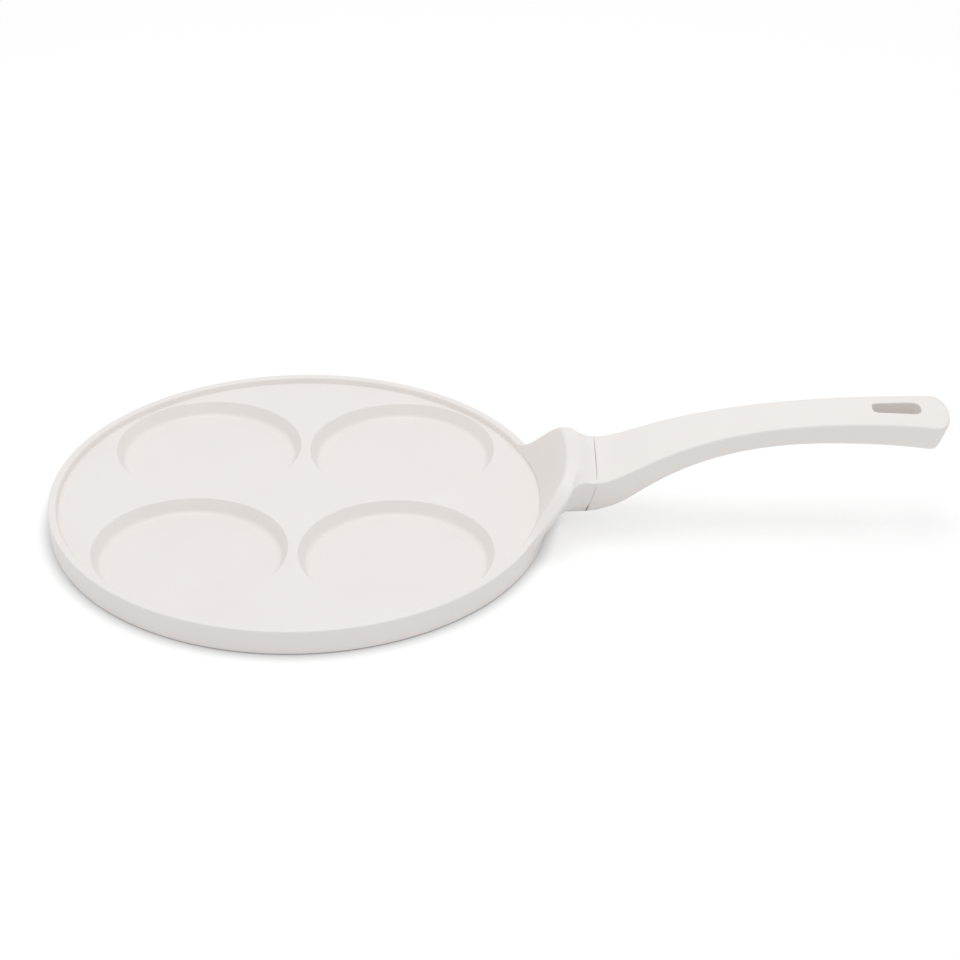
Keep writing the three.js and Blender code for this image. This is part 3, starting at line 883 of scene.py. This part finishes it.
def shared(first, second, share):
    """Two patterns in one, of which the first has the given share."""
    return first * share + second * (1 - share)


class Reading:
    """A number that varies over a surface; sums written on it add Math nodes to its finish."""

    def __init__(self, finish, socket):
        self.finish = finish
        self.socket = socket

    def worked(self, operation, first, second):
        node = self.finish.node("ShaderNodeMath", {"operation": operation}, {0: first, 1: second})
        return Reading(self.finish, node.outputs[0])

    def __add__(self, other):
        return self.worked("ADD", self, other)

    def __radd__(self, other):
        return self.worked("ADD", other, self)

    def __sub__(self, other):
        return self.worked("SUBTRACT", self, other)

    def __rsub__(self, other):
        return self.worked("SUBTRACT", other, self)

    def __mul__(self, other):
        return self.worked("MULTIPLY", self, other)

    def __rmul__(self, other):
        return self.worked("MULTIPLY", other, self)


class Finish:
    """A material or world whose nodes are added one by one."""

    def __init__(self, owner):
        self.owner = owner
        owner.use_nodes = True
        self.tree = owner.node_tree
        self.tree.nodes.clear()

    def node(self, kind, settings=None, sockets=None):
        node = self.tree.nodes.new(kind)
        for name, value in (settings or {}).items():
            if name == "stops":
                for stop, (place, level) in zip(node.color_ramp.elements, value):
                    stop.position = place
                    stop.color = (*grey(level), 1)
            else:
                setattr(node, name, value)
        for name, value in (sockets or {}).items():
            socket = node.inputs[name]
            if isinstance(value, Reading):
                self.tree.links.new(value.socket, socket)
            elif isinstance(value, bpy.types.NodeSocket):
                self.tree.links.new(value, socket)
            else:
                socket.default_value = value
        return node

    def reading(self, node, output=0):
        return Reading(self, node.outputs[output])

    def places(self):
        return self.node("ShaderNodeTexCoord").outputs["Object"]

    def speckle(self, size, detail):
        """Soft noise whose spots are about as wide as the given size."""
        sockets = {"Vector": self.places(), "Scale": 1 / size, "Detail": detail}
        return self.reading(self.node("ShaderNodeTexNoise", None, sockets), "Fac")

    def ramp(self, value, low, high):
        stops = [(low, 0), (high, 1)]
        return self.reading(self.node("ShaderNodeValToRGB", {"stops": stops}, {"Fac": value}))

    def patches(self, size, detail, low, high):
        """Speckle whose levels from low to high are stretched to run from nought to one."""
        return self.ramp(self.speckle(size, detail), low, high)

    def blend(self, part, first, second):
        sockets = {"Factor": part, MIX_COLOURS_IN[0]: (*first, 1), MIX_COLOURS_IN[1]: (*second, 1)}
        return self.node("ShaderNodeMix", {"data_type": "RGBA"}, sockets).outputs[MIX_COLOUR_OUT]

    def bump(self, height, depth, strength):
        sockets = {"Height": height, "Distance": depth, "Strength": strength}
        return self.node("ShaderNodeBump", None, sockets).outputs["Normal"]

    def surface(self, sockets):
        shader = self.node("ShaderNodeBsdfPrincipled", None, sockets)
        self.node("ShaderNodeOutputMaterial", None, {"Surface": shader.outputs[0]})
        return self.owner


def coated_casting():
    """Warm off-white satin coating, sprayed on and baked: a faint orange peel and fine specks."""
    finish = Finish(bpy.data.materials.new("coated_casting"))
    cloud = finish.patches(*COATING_CLOUD)
    peel = finish.speckle(*COATING_PEEL)
    speck = finish.speckle(*COATING_SPECK)
    base, by_cloud, by_peel = COATING_ROUGHNESS
    return finish.surface({
        "Base Color": finish.blend(shared(cloud, speck, COATING_CLOUD_SHARE), *COATING_COLOURS),
        "Roughness": base + by_cloud * cloud + by_peel * peel,
        "Normal": finish.bump(shared(peel, speck, COATING_PEEL_SHARE), *COATING_BUMP),
    })


def soft_touch():
    """Off-white soft-touch lacquer on the handle, duller than the coating, with a fine even grain."""
    finish = Finish(bpy.data.materials.new("handle_moulding"))
    cloud = finish.patches(*LACQUER_CLOUD)
    grain = finish.speckle(*LACQUER_GRAIN)
    base, by_cloud, by_grain = LACQUER_ROUGHNESS
    return finish.surface({
        "Base Color": finish.blend(shared(cloud, grain, LACQUER_CLOUD_SHARE), *LACQUER_COLOURS),
        "Roughness": base + by_cloud * cloud + by_grain * grain,
        "Normal": finish.bump(grain, *LACQUER_BUMP),
    })


def turned_steel():
    """Ferritic steel with the fine rings that turning leaves about the plate's middle."""
    finish = Finish(bpy.data.materials.new("plate_steel"))
    without_height = {0: finish.places(), 1: (1, 1, 0)}
    level = finish.node("ShaderNodeVectorMath", {"operation": "MULTIPLY"}, without_height).outputs[0]
    reach = finish.node("ShaderNodeVectorMath", {"operation": "LENGTH"}, {0: level}).outputs["Value"]
    sockets = {"W": reach, "Scale": STEEL_RINGS_PER_METRE, "Detail": STEEL_RING_DETAIL}
    noise = finish.node("ShaderNodeTexNoise", {"noise_dimensions": "1D"}, sockets)
    rings = finish.reading(noise, "Fac")
    stain = finish.patches(*STEEL_STAIN)
    base, by_rings, by_stain = STEEL_ROUGHNESS
    return finish.surface({
        "Base Color": finish.blend(shared(rings, stain, STEEL_RING_SHARE), *STEEL_COLOURS),
        "Metallic": 1,
        "Roughness": base + by_rings * rings + by_stain * stain,
        "Normal": finish.bump(rings, *STEEL_BUMP),
    })


def zinc_steel():
    """Zinc-plated steel of the screw and its fittings, faintly mottled."""
    finish = Finish(bpy.data.materials.new("fastener_steel"))
    mottle = finish.patches(*ZINC_MOTTLE)
    base, by_mottle = ZINC_ROUGHNESS
    return finish.surface({
        "Base Color": finish.blend(mottle, *ZINC_COLOURS),
        "Metallic": 1,
        "Roughness": base + by_mottle * mottle,
        "Normal": finish.bump(finish.speckle(*ZINC_GRAIN), *ZINC_BUMP),
    })


def gasket_rubber():
    """Dull warm-grey silicone, slightly uneven, with painted light: paler along its upper edge, where
    light falls on the top.
    """
    finish = Finish(bpy.data.materials.new("gasket_rubber"))
    height = finish.reading(finish.node("ShaderNodeSeparateXYZ", None, {0: finish.places()}), "Z")
    # Painted light: the gasket turns pale above a height, lit-looking on top and darker down its flank
    painted_top_light = finish.ramp((height - RUBBER_LIT_TOP_FROM) * (1 / RUBBER_LIT_TOP_OVER), 0, 1)
    dust = finish.patches(*RUBBER_DUST)
    base, by_dust = RUBBER_ROUGHNESS
    return finish.surface({
        "Base Color": finish.blend(shared(painted_top_light, dust, RUBBER_LIT_TOP_SHARE), *RUBBER_COLOURS),
        "Roughness": base + by_dust * dust,
        "Normal": finish.bump(finish.speckle(*RUBBER_PORES), *RUBBER_BUMP),
    })


def finish_all(pieces):
    finishes = {
        "coated_casting": coated_casting(),
        "handle_moulding": soft_touch(),
        "plate_steel": turned_steel(),
        "fastener_steel": zinc_steel(),
        "gasket_rubber": gasket_rubber(),
    }
    for piece, slot in pieces:
        piece.data.materials.clear()
        piece.data.materials.append(finishes[slot])


# Studio
FLOOR_SIZE = 8
FLOOR_LIFT = 0.635
FLOOR_SHADOW = 0.39
FLOOR_WHITE = 0.93
# Painted contact shade of the floor: its reach, its darkest level and its samples
CONTACT_REACH = 8 * MM
CONTACT_SHADE = 0.12
CONTACT_SAMPLES = 4
SKY_LEVEL = 0.69
LAMP_POWER = 10.6
LAMP_SIZE = 0.9
LAMP_PLACE = (0.1, 0.03, 1.8)


def seen_directly(finish):
    """One for rays from the camera or off a glossy or clear surface, nought for the rest."""
    path = finish.node("ShaderNodeLightPath")
    seen = finish.reading(path, "Is Camera Ray") + finish.reading(path, "Is Glossy Ray")
    return seen + finish.reading(path, "Is Transmission Ray")


def make_floor():
    """White floor that keeps the pan's shadow, soft under the handle; close to where the pan stands a
    painted contact shade darkens it further.
    """
    bpy.ops.object.select_all(action="DESELECT")
    bpy.ops.mesh.primitive_plane_add(size=FLOOR_SIZE)
    floor = bpy.context.object
    floor.name = "floor"
    finish = Finish(bpy.data.materials.new("floor"))
    plain = finish.node("ShaderNodeBsdfDiffuse", None, {"Color": (*grey(FLOOR_WHITE), 1)})
    faint = finish.node("ShaderNodeBsdfDiffuse", None, {"Color": (*grey(FLOOR_SHADOW), 1)})
    settings = {"samples": CONTACT_SAMPLES}
    # Painted shade: the floor's glow darkens by occlusion close to the pan, a painted contact shadow
    near = finish.node("ShaderNodeAmbientOcclusion", settings, {"Distance": CONTACT_REACH})
    shade_near = finish.blend(finish.reading(near, "AO"), grey(CONTACT_SHADE), grey(1))
    glow = finish.node("ShaderNodeEmission", None, {"Color": shade_near, "Strength": FLOOR_LIFT})
    lifted = finish.node("ShaderNodeAddShader", None, {0: faint.outputs[0], 1: glow.outputs[0]})
    sockets = {"Fac": seen_directly(finish), 1: plain.outputs[0], 2: lifted.outputs[0]}
    mixed = finish.node("ShaderNodeMixShader", None, sockets)
    finish.node("ShaderNodeOutputMaterial", None, {"Surface": mixed.outputs[0]})
    floor.data.materials.append(finish.owner)


def light_studio():
    world = bpy.data.worlds.new("studio")
    bpy.context.scene.world = world
    finish = Finish(world)
    level = SKY_LEVEL + (1 - SKY_LEVEL) * seen_directly(finish)
    sky = finish.node("ShaderNodeBackground", None, {"Color": (*grey(1), 1), "Strength": level})
    finish.node("ShaderNodeOutputWorld", None, {"Surface": sky.outputs[0]})
    bpy.ops.object.light_add(type="AREA", location=LAMP_PLACE)
    lamp = bpy.context.object
    lamp.name = "overhead_softbox"
    lamp.data.size = LAMP_SIZE
    lamp.data.energy = LAMP_POWER


set_camera()
casting = make_casting()
handle = make_handle()
made = ((casting, "pan_body", "coated_casting"), (handle, "handle", "handle_moulding"))
for piece, node, slot in made:
    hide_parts(node)
    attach(piece, "root")

kept = (
    ("induction_plate", "plate_steel"),
    ("heat_gasket", "gasket_rubber"),
    ("thread_insert", "fastener_steel"),
    ("screw_bush", "fastener_steel"),
    ("lock_washer", "fastener_steel"),
    ("handle_screw", "fastener_steel"),
)
dressed = [(piece, slot) for piece, node, slot in made]
dressed += [(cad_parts[node], slot) for node, slot in kept]
finish_all(dressed)
make_floor()
light_studio()
